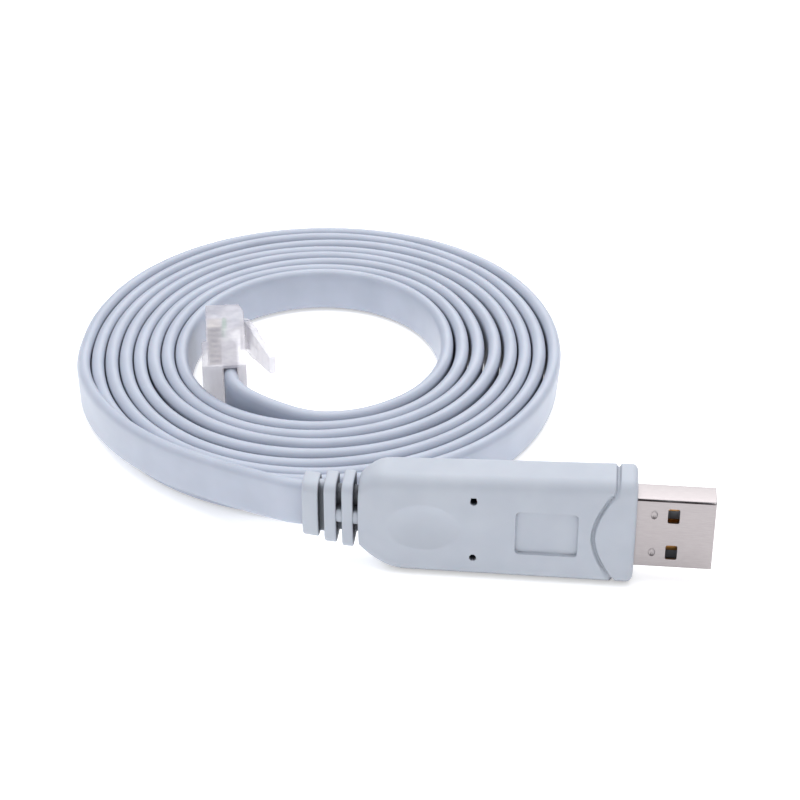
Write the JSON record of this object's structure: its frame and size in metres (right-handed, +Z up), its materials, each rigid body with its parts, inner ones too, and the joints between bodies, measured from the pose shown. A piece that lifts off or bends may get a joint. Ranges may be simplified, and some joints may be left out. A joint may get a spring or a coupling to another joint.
{
  "type": "usb to rj45 console cable",
  "caption": "Coiled flat console cable with a moulded USB connector at one end and a clear modular RJ45 plug with a sprung latch at the other.",
  "frame": {"origin": "Bottom centre of the USB connector with its strain relief, on the surface it stands on.", "axes": "+X along the USB connector towards its plug tip, +Y through its thickness towards the coil, +Z up."},
  "size_m": [0.1087, 0.1059, 0.0178],
  "materials": {
    "grey_moulding": "matt moulded PVC",
    "plated_steel": "nickel-plated",
    "dark_plastic": "satin",
    "gold_contact": "gold-plated",
    "cable_jacket": "soft PVC with a low sheen",
    "clear_plastic": "clear polycarbonate"
  },
  "bodies": {
    "cable": {"usb_moulding": "grey_moulding", "usb_shell": "plated_steel", "usb_insulator": "dark_plastic", "usb_contact_1": "gold_contact", "usb_contact_2": "gold_contact", "usb_contact_3": "gold_contact", "usb_contact_4": "gold_contact", "cable_lead": "cable_jacket", "cable_coil": "cable_jacket", "cable_tail": "cable_jacket", "rj45_body": "clear_plastic", "rj45_contact_1": "gold_contact", "rj45_contact_2": "gold_contact", "rj45_contact_3": "gold_contact", "rj45_contact_4": "gold_contact", "rj45_contact_5": "gold_contact", "rj45_contact_6": "gold_contact", "rj45_contact_7": "gold_contact", "rj45_contact_8": "gold_contact"},
    "latch": {"rj45_latch": "clear_plastic"}
  },
  "joints": [
    {"name": "latch_press", "type": "hinge", "parent": "cable", "child": "latch", "pos_m": [-0.04943, 0.05811, 0.00584], "axis": [0, 0, -1], "range_deg": [0, 15], "stiffness_Nm_per_rad": 0.0008}
  ]
}
